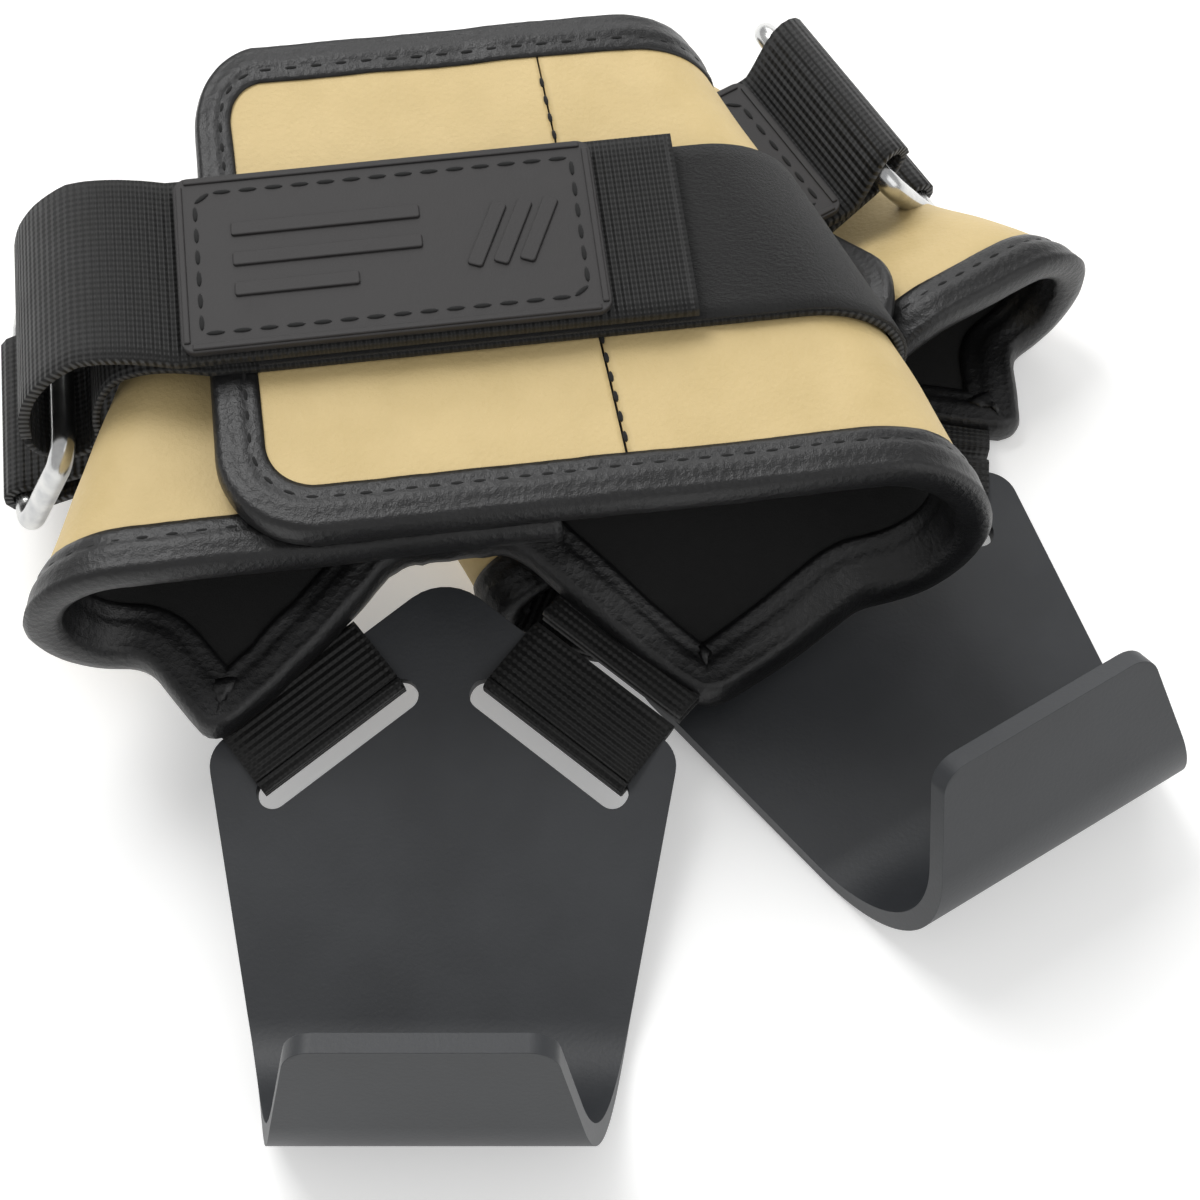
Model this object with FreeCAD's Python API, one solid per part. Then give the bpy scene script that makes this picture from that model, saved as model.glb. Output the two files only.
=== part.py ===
"""A pair of weightlifting hook grips: a padded wrist cuff, a closing strap and a steel bar hook each.

Millimetres, +Z up, the grips lying palm side down on z = 0. The left grip's hook points along -Y.
The origin is the middle of the pair's footprint.
The right grip is its mirror image, turned and set down behind and to the right of it.
Each cuff is drawn in its own frame: x across the wrist, y along the forearm from the hand edge, z up.
Each hook is drawn in its own frame: x across, y away from the hook's nose, z out of its upper face.
"""
import FreeCAD
import Part
import math
import os

Vector = FreeCAD.Vector

# Cuff: a padded wrap, its two ends overlapping on top, wide at the hand and narrow at the wrist
CUFF_LENGTH = 82.0
WRIST_HALF_WIDTH = 37.0
WALL = 4.2
SKIN = 1.0
LINING = 0.8
PATCH = 0.6                      # each half of the hook-and-loop closure under the flap
PATCH_FROM = -29.0
UNDERLAP_END = 8.0               # x of the hidden end of the wrap
FLAP_END = -37.0                 # x of the free end of the flap
SEAM_HAND = 18.5                 # x of the stitched seam across the flap, at each edge
SEAM_WRIST = 12.5
BINDING = 7.0                    # visible width of the leather edge binding
BINDING_SKIN = 0.8
FLAP_CORNER = 10.0
NOTCH_X = -7.0                   # middle of the hand-edge notch
NOTCH_FLOOR = 9.0                # half width at its floor
PALM_REACH = 13.0                # how far the palm side stands out past the flap at the hand edge

# Closing strap: 30 mm webbing through a rectangular wire ring
STRAP_WIDTH = 30.0
STRAP = 1.6
STRAP_Y = 40.6
STRAP_START = -40.0              # angle on the cuff's rounded side where its sewn end starts
TAIL_END = 30.0
LABEL_FROM = -40.0
LABEL_TO = 18.3
LABEL_WIDTH = 29.0
LABEL = 1.2
HOOK_TAPE = 0.9
RING_WIRE = 3.6
RING_BARS = 20.0                 # distance between the two long bars
RING_LONG = 36.4                 # distance between the two short bars
FOLD_SHIFT = 4.0                 # how far the strap drifts towards the forearm at the ring
FOLD_RADIUS = 5.0                # middle of the webbing round the ring bar
PILE = 0.6
# Bar hook: 3 mm steel, a house-shaped plate with two slanted slots and a curled end
STEEL = 3.0
BEND_START = 61.6
BEND_INSIDE = 15.0
BEND_ANGLE = 118.0
LIP = 17.7
ROOF_ANGLE = 38.0
SHOULDER_HALF_WIDTH = 33.6
LIP_HALF_WIDTH = 16.8
NOSE_RADIUS = 8.0
SHOULDER_RADIUS = 5.0
LIP_RADIUS = 4.0
SLOT_WIDTH = 4.6
SLOT_LENGTH = 27.5
SLOT_MIDDLE = (15.0, 23.0)
HOOK_WEB_WIDTH = 25.0
HOOK_WEB = 1.6
WEB_STUB = 2.0                   # webbing past the roof edge that moves with the hook
ANCHOR_DEPTH = 12.0              # webbing that runs level, sewn to the palm wall

HALF = WALL / 2
CURVE_STEPS = 6
GAP = 0.3                        # between pieces of different moving bodies

TAB_Z = 4.0                      # where the ring's tab is sewn to the cuff's side

# The right grip lies at the bottom, pressed flat; the left grip lies on top of it.
# Place and turn of each hook's centre line, hook pitch, middle of the cuff's hand edge with its height,
# cuff turn, height of the flap's top above the cuff's base, half width at the hand edge's right side,
# half width of the notch's mouth and depth of its floor, x and z of the ring bar that carries
# the strap, the ring's lean from level, and where the hook webbing runs level
GRIPS = {
    "left": dict(mirrored=False, place=(-22.3, 0.0), turn=0.0, pitch=13.8, cuff=(9.2, -13.5, 23.6),
                 cuff_turn=7.0, top=27.0, left_half=(66.0, 32.0), right_half=68.5, notch=(32.5, 10.5),
                 bar=(-60.0, 9.5), lean=65.0,
                 web_z=21.8, web_lead=7.0),
    "right": dict(mirrored=True, place=(17.4, 28.1), turn=31.8, pitch=3.2, cuff=(8.0, -13.0, 0.0),
                  cuff_turn=0.0, top=17.5, left_half=(68.5, 37.0), right_half=38.5, notch=(37.0, 20.6),
                  bar=(-48.5, 22.6), lean=58.0,
                  web_z=2.5, web_lead=5.0),
}
NOSE_Y = -7.3
FOOTPRINT_MIDDLE = Vector(-4.79, 4.82, 0)       # becomes the origin


class Levels:
    """The shape one cuff is pressed to: heights at mid-wall of its palm side, underlap and flap."""

    def __init__(self, top, left_half, right_half, notch):
        self.left_half = left_half
        self.right_half = right_half
        self.notch_mouth, self.notch_depth = notch
        self.palm = HALF + BINDING_SKIN / 2
        self.flap = top - HALF
        self.underlap = self.flap - WALL - 2 * PATCH
        self.left_radius = (self.underlap - self.palm) / 2
        self.right_radius = (self.flap - self.palm) / 2


def side_centres(y, levels):
    """The x of the two rounded sides' centres at a distance y from the hand edge."""
    share = y / CUFF_LENGTH
    hand, wrist = levels.left_half
    left_half = hand + (wrist - hand) * share
    right_half = levels.right_half + (WRIST_HALF_WIDTH - levels.right_half) * share
    left = -left_half + HALF + levels.left_radius
    right = right_half - HALF - levels.right_radius
    return left, right


def prism(points, low, high):
    """A vertical prism over points in plan."""
    corners = [Vector(x, y, low) for x, y in points]
    return Part.Face(Part.makePolygon(corners + corners[:1])).extrude(Vector(0, 0, high - low))


def plan_band(x0, x1, y0, y1, low, high):
    """A flat stretch of the wrap, its two ends at x0(y) and x1(y)."""
    corners = [(x0(y0), y0), (x1(y0), y0), (x1(y1), y1), (x0(y1), y1)]
    return prism(corners, low, high)


def palm_band(left, right, mouth, y0, y1, low, high):
    """The palm side, whose hand edge stands out on both sides of the notch."""
    def line(y):
        out = PALM_REACH if y < CUFF_LENGTH / 2 else 0.0
        return [(left(y), y), (NOTCH_X - mouth, y - out), (NOTCH_X + mouth, y - out), (right(y), y)]

    return prism(line(y0) + line(y1)[::-1], low, high)


def side_band(centre, y0, y1, z, inner, outer, first, last):
    """A rounded side of the wrap: part of a ring, drawn along the leaning side line."""
    def point(radius, angle):
        turn = math.radians(angle)
        return Vector(centre(y0) + radius * math.cos(turn), y0, z + radius * math.sin(turn))

    middle = (first + last) / 2
    edges = [Part.Arc(point(outer, first), point(outer, middle), point(outer, last)).toShape(),
             Part.LineSegment(point(outer, last), point(inner, last)).toShape(),
             Part.Arc(point(inner, last), point(inner, middle), point(inner, first)).toShape(),
             Part.LineSegment(point(inner, first), point(outer, first)).toShape()]
    return Part.Face(Part.Wire(edges)).extrude(Vector(centre(y1) - centre(y0), y1 - y0, 0))


def wrap(levels, y0, y1, inner, outer, parts):
    """A layer of the wrap between two offsets from mid-wall and two distances from the hand edge."""
    def left(y):
        return side_centres(y, levels)[0]

    def right(y):
        return side_centres(y, levels)[1]

    def seam(y):
        return SEAM_HAND + (SEAM_WRIST - SEAM_HAND) * y / CUFF_LENGTH

    def at(x):
        return lambda y: x

    def turn(centre, radius, first, last):
        return side_band(centre, y0, y1, levels.palm + radius, radius + inner, radius + outer, first, last)

    made = {
        "underlap": lambda: plan_band(left, at(UNDERLAP_END), y0, y1, levels.underlap + inner,
                                      levels.underlap + outer),
        "left": lambda: turn(left, levels.left_radius, 90, 270),
        "palm": lambda: palm_band(left, right, levels.notch_mouth, y0, y1,
                                  levels.palm - outer, levels.palm - inner),
        "right": lambda: turn(right, levels.right_radius, -90, 90),
        "over": lambda: plan_band(seam, right, y0, y1, levels.flap + inner, levels.flap + outer),
        "flap": lambda: plan_band(at(FLAP_END), seam, y0, y1, levels.flap + inner, levels.flap + outer),
        "strap_side": lambda: turn(right, levels.right_radius, STRAP_START, 90),
    }
    solids = [made[name]() for name in parts]
    whole = solids[0]
    for solid in solids[1:]:
        whole = whole.fuse(solid)
    return whole.removeSplitter()


ALL = ("underlap", "left", "palm", "right", "over", "flap")


def notch(levels, grow):
    """The hand-edge notch, grown on every side, cut through the palm side only."""
    floor = levels.notch_depth + grow
    mouth = -PALM_REACH - 1
    half_mouth = levels.notch_mouth + grow * 1.4
    points = [(NOTCH_X - half_mouth, mouth), (NOTCH_X - NOTCH_FLOOR - grow * 0.4, floor),
              (NOTCH_X + NOTCH_FLOOR + grow * 0.4, floor), (NOTCH_X + half_mouth, mouth)]
    return prism(points, -1, WALL + BINDING_SKIN + 0.2)


def flap_corners(levels, inset):
    """What rounds the flap's two free corners: the solid outside the rounded outline."""
    low = levels.flap - HALF - BINDING_SKIN / 2 - 0.1
    high = levels.flap + HALF + BINDING_SKIN + 1
    waste = None
    for y, way in ((inset, 1), (CUFF_LENGTH - inset, -1)):
        radius = FLAP_CORNER
        box = Part.makeBox(radius + 2, radius + 2, high - low)
        if way > 0:
            box.translate(Vector(FLAP_END + inset - 2, y - 2, low))
        else:
            box.translate(Vector(FLAP_END + inset - 2, y - radius, low))
        centre = Vector(FLAP_END + inset + radius, y + way * radius, low - 1)
        corner = box.cut(Part.makeCylinder(radius, high - low + 2, centre))
        waste = corner if waste is None else waste.fuse(corner)
    return waste


def ribbon(points, y0, y1, thickness, shift=None):
    """A flat band of webbing: a path in x and z, its width from y0 to y1, lofted station by station."""
    wires = []
    for i, (x, z) in enumerate(points):
        ax, az = points[max(i - 1, 0)]
        bx, bz = points[min(i + 1, len(points) - 1)]
        length = math.hypot(bx - ax, bz - az)
        nx, nz = -(bz - az) / length * thickness / 2, (bx - ax) / length * thickness / 2
        dy = shift[i] if shift else 0.0
        corners = [Vector(x + nx, y0 + dy, z + nz), Vector(x + nx, y1 + dy, z + nz),
                   Vector(x - nx, y1 + dy, z - nz), Vector(x - nx, y0 + dy, z - nz)]
        wires.append(Part.makePolygon(corners + corners[:1]))
    return Part.makeLoft(wires, True, True)


def curve(start, end):
    """An S-free bend in x and z: level at the start, upright at the end."""
    (x0, z0), (x1, z1) = start, end
    points = []
    for i in range(CURVE_STEPS + 1):
        t = i / CURVE_STEPS
        bend = (x0 + (x1 - x0) * 0.62, z0), (x1, z1 + (z0 - z1) * 0.6)
        weights = (1 - t) ** 3, 3 * t * (1 - t) ** 2, 3 * t * t * (1 - t), t ** 3
        stops = (start, *bend, end)
        points.append(tuple(sum(w * p[axis] for w, p in zip(weights, stops)) for axis in (0, 1)))
    return points


def strap_paths(bar, base_z, tail_z):
    """The strap from the flap's end round the ring bar, and its tail back over the flap, in x and z."""
    bar_x, bar_z = bar

    def round_bar(angles):
        return [(bar_x + FOLD_RADIUS * math.cos(math.radians(a)),
                 bar_z + FOLD_RADIUS * math.sin(math.radians(a)))
                for a in angles]

    tail_start = (LABEL_FROM - 1, tail_z)
    if bar_z < base_z:
        # the ring hangs at the cuff's side: the strap drops into it and comes up outside it
        base = curve((FLAP_END, base_z), (bar_x + FOLD_RADIUS, bar_z)) + round_bar(range(-20, -200, -20))
        rise = curve(tail_start, (bar_x - FOLD_RADIUS, bar_z + 3 * GAP))[::-1]
    else:
        # the ring lies above the cuff: the strap runs level under its bar and back over it
        base = [(FLAP_END, base_z)] + round_bar(range(-90, -181, -18))
        rise = round_bar(range(-190, -271, -16))
        top = (bar_x, bar_z + FOLD_RADIUS)
        for i in range(1, CURVE_STEPS + 1):
            t = i / CURVE_STEPS
            ease = t * t * (3 - 2 * t)
            rise.append((top[0] + (tail_start[0] - top[0]) * t, top[1] + (tail_start[1] - top[1]) * ease))
    return base, rise + [(TAIL_END, tail_z)]


def cuff_layers(levels):
    """The padded wrap: lining, foam, skin, bindings and closure patches, in the cuff frame."""
    inset = 1.5
    near, far = inset, CUFF_LENGTH - inset
    corners = flap_corners(levels, inset)
    small_notch = notch(levels, inset)
    nodes = {}
    skin_from = HALF - SKIN

    def panel(parts, inner, outer):
        return wrap(levels, near, far, inner, outer, parts).cut(small_notch).cut(corners)

    palm = ("underlap", "left", "palm", "right", "over")
    nodes["palm_panel"] = panel(palm, skin_from, HALF)
    nodes["flap_panel"] = panel(("flap",), skin_from, HALF)
    nodes["foam_pad"] = panel(ALL, -HALF + LINING, skin_from)
    nodes["lining"] = panel(ALL, -HALF, -HALF + LINING)

    # Bindings are folded leather: a band round the wrap's edge with the wrap itself cut out of it
    full = wrap(levels, near, far, -HALF, HALF, ALL).cut(small_notch).cut(corners)
    edge_corners = flap_corners(levels, 0.0)
    thick = (-HALF - BINDING_SKIN / 2, HALF + BINDING_SKIN / 2)
    flap_end = plan_band(lambda y: FLAP_END, lambda y: FLAP_END + BINDING, 0, CUFF_LENGTH,
                         levels.flap + thick[0], levels.flap + thick[1])
    waste = flap_end.fuse(notch(levels, BINDING))
    nodes["hand_edge_binding"] = wrap(levels, 0, BINDING, *thick, ALL).cut(full).cut(waste)
    nodes["wrist_edge_binding"] = wrap(levels, CUFF_LENGTH - BINDING, CUFF_LENGTH, *thick,
                                       ALL).cut(full).cut(flap_end)
    palm = wrap(levels, 0, CUFF_LENGTH, *thick, ("palm",))
    nodes["notch_binding"] = palm.common(notch(levels, BINDING)).cut(notch(levels, 0)).cut(full)
    nodes["flap_end_binding"] = flap_end.cut(edge_corners).cut(full)
    nodes["closure_loop_patch"] = Part.makeBox(
        UNDERLAP_END - PATCH_FROM, 62, PATCH, Vector(PATCH_FROM, 10, levels.underlap + HALF))
    nodes["closure_hook_patch"] = Part.makeBox(
        UNDERLAP_END - PATCH_FROM, 62, PATCH, Vector(PATCH_FROM, 10, levels.underlap + HALF + PATCH))
    return nodes


def strap_parts(levels, bar, lean):
    """The closing strap, its fold round the ring, the peeling tail and the ring itself, in the cuff frame."""
    y0 = STRAP_Y - STRAP_WIDTH / 2
    y1 = STRAP_Y + STRAP_WIDTH / 2
    under = HALF + BINDING_SKIN / 2
    over = ("strap_side", "over", "flap")
    base_z = levels.flap + under + STRAP / 2
    tail_z = levels.flap + under + STRAP + GAP + HOOK_TAPE + STRAP / 2
    base_path, rise = strap_paths(bar, base_z, tail_z)
    drift = [FOLD_SHIFT * min(1.0, max(0.0, (FLAP_END - x) / 14.0)) for x, _ in base_path]
    tail_drift = [FOLD_SHIFT * min(1.0, max(0.0, (LABEL_FROM - 1 - x) / 14.0)) for x, _ in rise]
    label_y = STRAP_Y - LABEL_WIDTH / 2
    tape_y = y0 + 1.0
    label_z = tail_z + STRAP / 2
    return {
        "strap_base": wrap(levels, y0, y1, under, under + STRAP - PILE, over).fuse(
            ribbon(base_path, y0, y1, STRAP, drift)).cut(
                wrap(levels, y0, y1, under + STRAP - PILE, under + STRAP, over)),
        "strap_pile": wrap(levels, y0, y1, under + STRAP - PILE, under + STRAP, over),
        "strap_tail": ribbon(rise, y0, y1, STRAP, tail_drift),
        "tail_hook_tape": Part.makeBox(TAIL_END + 30, STRAP_WIDTH - 2, HOOK_TAPE,
                                       Vector(-31, tape_y, tail_z - STRAP / 2 - HOOK_TAPE)),
        "label_patch": plate_prism(rounded([(LABEL_FROM, label_y), (LABEL_TO, label_y),
                                            (LABEL_TO, label_y + LABEL_WIDTH),
                                            (LABEL_FROM, label_y + LABEL_WIDTH)], [1.5] * 4, label_z), LABEL),
        "ring": ring(bar, lean),
        "ring_tab": ring_tab(levels, ring_low_bar(bar, lean)),
    }


def rounded(points, radii, z):
    """A closed outline in plan with a round of the given radius at each corner."""
    edges = []
    count = len(points)
    starts, ends, middles = [], [], []
    for i, radius in enumerate(radii):
        corner = Vector(*points[i], z)
        back = (Vector(*points[i - 1], z) - corner).normalize()
        ahead = (Vector(*points[(i + 1) % count], z) - corner).normalize()
        half = back.getAngle(ahead) / 2
        reach = radius / math.tan(half)
        centre = corner + (back + ahead).normalize() * (radius / math.sin(half))
        starts.append(corner + back * reach)
        ends.append(corner + ahead * reach)
        middles.append(centre + (corner - centre).normalize() * radius)
    for i in range(count):
        edges.append(Part.Arc(starts[i], middles[i], ends[i]).toShape())
        edges.append(Part.LineSegment(ends[i], starts[(i + 1) % count]).toShape())
    return Part.Wire(edges)


def plate_prism(wire, height):
    return Part.Face(wire).extrude(Vector(0, 0, height))


def ring(bar, lean):
    """A rectangular ring of round wire, leaning on its lower long bar."""
    half_long = RING_LONG / 2
    half_short = RING_BARS / 2
    bend = RING_WIRE
    path = rounded([(-half_short, -half_long), (half_short, -half_long), (half_short, half_long),
                    (-half_short, half_long)], [bend] * 4, 0)
    edge = path.Edges[1]
    start = edge.valueAt(edge.FirstParameter)
    circle = Part.Wire(Part.makeCircle(RING_WIRE / 2, start, edge.tangentAt(edge.FirstParameter)))
    body = Part.Wire(path.Edges[1:] + path.Edges[:1]).makePipeShell([circle], True, True)
    top, low = bar, ring_low_bar(bar, lean)
    body.rotate(Vector(0, 0, 0), Vector(0, 1, 0), -lean)
    body.translate(Vector((top[0] + low[0]) / 2, STRAP_Y + FOLD_SHIFT, (top[1] + low[1]) / 2))
    return body


def ring_low_bar(bar, lean):
    turn = math.radians(lean)
    return bar[0] - RING_BARS * math.cos(turn), bar[1] - RING_BARS * math.sin(turn)


def ring_tab(levels, low_bar):
    """The doubled webbing that holds the ring: a sleeve round the low bar, sewn to the cuff's side."""
    x, z = low_bar
    width = STRAP_WIDTH - 3
    y0 = STRAP_Y + FOLD_SHIFT - width / 2
    inner = RING_WIRE / 2 + GAP
    outer = inner + STRAP
    along = Vector(0, 1, 0)
    sleeve = Part.makeCylinder(outer, width, Vector(x, y0, z), along)
    end_x = WRIST_HALF_WIDTH * -0.8
    band = Part.makePolygon([Vector(x, y0, z - outer), Vector(end_x, y0, TAB_Z),
                             Vector(end_x, y0, TAB_Z + 3.0),
                             Vector(x, y0, z + outer * 0.4), Vector(x, y0, z - outer)])
    tab = sleeve.fuse(Part.Face(band).extrude(Vector(0, width, 0)))
    tab = tab.cut(Part.makeCylinder(inner, width + 2, Vector(x, y0 - 1, z), along))
    skin = HALF + BINDING_SKIN / 2
    tab = tab.cut(wrap(levels, 0, CUFF_LENGTH, -skin, HALF, ALL))
    return sorted(tab.Solids, key=lambda solid: solid.BoundBox.XMin)[0]


def half_width(distance):
    """Half the bar hook's width at a distance from its nose, measured along the steel."""
    roof = math.tan(math.radians(ROOF_ANGLE))
    shoulder = SHOULDER_HALF_WIDTH * roof - nose_rise()
    end = BEND_START + math.radians(BEND_ANGLE) * (BEND_INSIDE + STEEL / 2) + LIP
    share = (distance - shoulder) / (end - shoulder)
    return SHOULDER_HALF_WIDTH + (LIP_HALF_WIDTH - SHOULDER_HALF_WIDTH) * share


def nose_rise():
    """How far the roof's sharp point would stand past the rounded nose."""
    return NOSE_RADIUS * (1 / math.cos(math.radians(ROOF_ANGLE)) - 1)


def hook_side(radius, angle):
    """A point in y and z on the bend, at a distance from its axis."""
    turn = math.radians(angle)
    return -BEND_START - radius * math.sin(turn), BEND_INSIDE - radius * math.cos(turn)


def bent_steel():
    """The bent sheet before it is cut to outline, very wide."""
    outside = BEND_INSIDE + STEEL
    turn = math.radians(BEND_ANGLE)
    lip = Vector(0, -math.cos(turn) * LIP, math.sin(turn) * LIP)

    def on(radius, angle):
        return Vector(-60, *hook_side(radius, angle))

    inner_end = on(BEND_INSIDE, BEND_ANGLE)
    outer_end = on(outside, BEND_ANGLE)
    corners = [Vector(-60, 10, 0), on(BEND_INSIDE, 0)]
    edges = [Part.LineSegment(*corners).toShape(),
             Part.Arc(on(BEND_INSIDE, 0), on(BEND_INSIDE, BEND_ANGLE / 2), inner_end).toShape(),
             Part.LineSegment(inner_end, inner_end + lip).toShape(),
             Part.LineSegment(inner_end + lip, outer_end + lip).toShape(),
             Part.LineSegment(outer_end + lip, outer_end).toShape(),
             Part.Arc(outer_end, on(outside, BEND_ANGLE / 2), on(outside, 0)).toShape(),
             Part.LineSegment(on(outside, 0), Vector(-60, 10, -STEEL)).toShape(),
             Part.LineSegment(Vector(-60, 10, -STEEL), Vector(-60, 10, 0)).toShape()]
    return Part.Face(Part.Wire(edges)).extrude(Vector(120, 0, 0))


def shank_outline():
    roof = math.tan(math.radians(ROOF_ANGLE))
    shoulder = SHOULDER_HALF_WIDTH * roof - nose_rise()
    waist = half_width(BEND_START)
    points = [(0, nose_rise()), (SHOULDER_HALF_WIDTH, -shoulder), (waist, -BEND_START),
              (-waist, -BEND_START), (-SHOULDER_HALF_WIDTH, -shoulder)]
    square = 0.01
    wire = rounded(points, [NOSE_RADIUS, SHOULDER_RADIUS, square, square, SHOULDER_RADIUS], -STEEL - 2)
    return plate_prism(wire, STEEL + 4)


def bend_outline():
    """The space the bend's tapering sides leave, as straight-sided stations round the bend."""
    wires = []
    for angle in [BEND_ANGLE * i / 6 for i in range(7)]:
        half = half_width(BEND_START + math.radians(angle) * (BEND_INSIDE + STEEL / 2))
        inner = hook_side(BEND_INSIDE - 1, angle)
        outer = hook_side(BEND_INSIDE + STEEL + 1, angle)
        corners = [Vector(-half, *inner), Vector(half, *inner), Vector(half, *outer), Vector(-half, *outer)]
        wires.append(Part.makePolygon(corners + corners[:1]))
    return Part.makeLoft(wires, True, True)


def lip_outline():
    """The lip's rounded trapezium, stood up at the end of the bend."""
    base = half_width(BEND_START + math.radians(BEND_ANGLE) * (BEND_INSIDE + STEEL / 2))
    wire = rounded([(-base, 0), (base, 0), (LIP_HALF_WIDTH, LIP), (-LIP_HALF_WIDTH, LIP)],
                   [0.01, 0.01, LIP_RADIUS, LIP_RADIUS], -STEEL - 1)
    solid = plate_prism(wire, STEEL + 2)
    solid.rotate(Vector(0, 0, 0), Vector(1, 0, 0), 180 - BEND_ANGLE)
    # the lip's inner face carries on from the end of the bend
    solid.translate(Vector(0, *hook_side(BEND_INSIDE, BEND_ANGLE)))
    return solid


def slot_frame(side):
    """Place things drawn along a slot (x) and towards the roof edge (y) on one side of the plate."""
    place = FreeCAD.Placement(Vector(side * SLOT_MIDDLE[0], -SLOT_MIDDLE[1], 0),
                              FreeCAD.Rotation(Vector(0, 0, 1), -side * ROOF_ANGLE))
    return place


def placed(shape, placement):
    copy = shape.copy()
    copy.Placement = placement.multiply(copy.Placement)
    return copy


def hook_parts():
    """The bent steel bar hook and the webbing round its two slanted bars, in the hook frame."""
    raw = bent_steel()
    plate = raw.common(shank_outline()).fuse(raw.common(bend_outline())).fuse(raw.common(lip_outline()))
    plate = plate.removeSplitter()
    half = SLOT_LENGTH / 2
    slot_end = SLOT_WIDTH / 2 - 0.1
    slot = plate_prism(rounded([(-half, -SLOT_WIDTH / 2), (half, -SLOT_WIDTH / 2), (half, SLOT_WIDTH / 2),
                                (-half, SLOT_WIDTH / 2)], [slot_end] * 4, -STEEL - 1), STEEL + 2)
    webs = []
    roof = slot_to_roof()
    wide = HOOK_WEB_WIDTH
    for side in (-1, 1):
        plate = plate.cut(placed(slot, slot_frame(side)))
        loop = Part.makeBox(wide, roof - SLOT_WIDTH / 2 + 2 * HOOK_WEB + 0.2, STEEL + 2 * HOOK_WEB + 0.2,
                            Vector(-wide / 2, SLOT_WIDTH / 2 - HOOK_WEB - 0.1, -STEEL - HOOK_WEB - 0.1))
        hole = Part.makeBox(wide + 2, roof - SLOT_WIDTH / 2 + 0.2, STEEL + 0.2,
                            Vector(-wide / 2 - 1, SLOT_WIDTH / 2 - 0.1, -STEEL - 0.1))
        stub = Part.makeBox(wide, WEB_STUB, 2 * HOOK_WEB,
                            Vector(-wide / 2, roof + HOOK_WEB, -STEEL / 2 - HOOK_WEB))
        webs.append(placed(loop.cut(hole).fuse(stub).removeSplitter(), slot_frame(side)))
    return {"hook_plate": plate, "hook_webbing": Part.makeCompound(webs)}


def slot_to_roof():
    """Distance from a slot's centre line to the plate's slanted roof edge."""
    roof = math.radians(ROOF_ANGLE)
    return (SLOT_MIDDLE[1] + nose_rise() - SLOT_MIDDLE[0] * math.tan(roof)) * math.cos(roof)


def hook_placement(pitch):
    """The hook resting on the outside of its bend, its nose raised by the pitch."""
    turn = math.radians(pitch)
    nose_z = BEND_INSIDE + STEEL + BEND_START * math.sin(turn) - BEND_INSIDE * math.cos(turn)
    return FreeCAD.Placement(Vector(0, NOSE_Y, nose_z), FreeCAD.Rotation(Vector(1, 0, 0), pitch))


def web_anchors(pitch, web_z, web_lead):
    """The webbing from the hook's webbing to the palm wall, where it runs level at the given height."""
    hook = hook_placement(pitch)
    end = slot_to_roof() + HOOK_WEB + WEB_STUB + 2 * GAP
    upright = Vector(0, 0, 1)
    anchors = []
    for side in (-1, 1):
        frame = hook.multiply(slot_frame(side))
        across = frame.Rotation.multVec(Vector(1, 0, 0))
        start = frame.multVec(Vector(0, end, -STEEL / 2))
        inward = upright.cross(across).normalize()
        rim = start + inward * web_lead
        rim.z = web_z
        made = []
        for centre, normal in ((start, frame.Rotation.multVec(upright)), (rim, upright),
                               (rim + inward * ANCHOR_DEPTH, upright)):
            w = across * (HOOK_WEB_WIDTH / 2)
            n = normal * HOOK_WEB
            corners = [centre - w - n, centre + w - n, centre + w + n, centre - w + n]
            made.append(Part.makePolygon(corners + corners[:1]))
        solid = Part.makeLoft(made, True, True)
        if solid.Volume < 0:
            solid.reverse()
        anchors.append(solid)
    return Part.makeCompound(anchors)


def grip(side, mirrored, place, turn, pitch, cuff, cuff_turn, top, left_half, right_half, notch, bar, lean,
         web_z, web_lead):
    """All pieces of one grip, in the frame of the pair."""
    levels = Levels(top, left_half, right_half, notch)
    cuff = FreeCAD.Placement(Vector(*cuff), FreeCAD.Rotation(Vector(0, 0, 1), cuff_turn))
    pieces = {**cuff_layers(levels), **strap_parts(levels, bar, lean)}
    nodes = {name: placed(shape, cuff) for name, shape in pieces.items()}
    anchors = web_anchors(pitch, web_z, web_lead)
    for name in ("palm_panel", "foam_pad", "lining", "notch_binding", "hand_edge_binding"):
        nodes[name] = nodes[name].cut(anchors)
    nodes["webbing_anchors"] = anchors
    hook = hook_placement(pitch)
    nodes.update({name: placed(shape, hook) for name, shape in hook_parts().items()})
    rest = FreeCAD.Placement(Vector(*place, 0) - FOOTPRINT_MIDDLE, FreeCAD.Rotation(Vector(0, 0, 1), turn))
    for name, shape in nodes.items():
        if mirrored:
            shape = shape.mirror(Vector(0, 0, 0), Vector(1, 0, 0))
        yield "%s_%s" % (side, name), placed(shape, rest)


os.makedirs("parts", exist_ok=True)
for side, lie in GRIPS.items():
    for name, shape in grip(side, **lie):
        box = shape.BoundBox
        print("%-28s valid %s, solids %d, volume %9.1f, z %.2f to %.2f" % (
            name, shape.isValid(), len(shape.Solids), shape.Volume, box.ZMin, box.ZMax))
        shape.exportStep("parts/%s.step" % name)
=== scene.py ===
"""A pair of weightlifting hook grips: padded cuffs, ring-and-strap closures, bent steel bar hooks."""
import bisect
import math
import bmesh
import bpy
from mathutils import Matrix, Vector, noise


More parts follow.
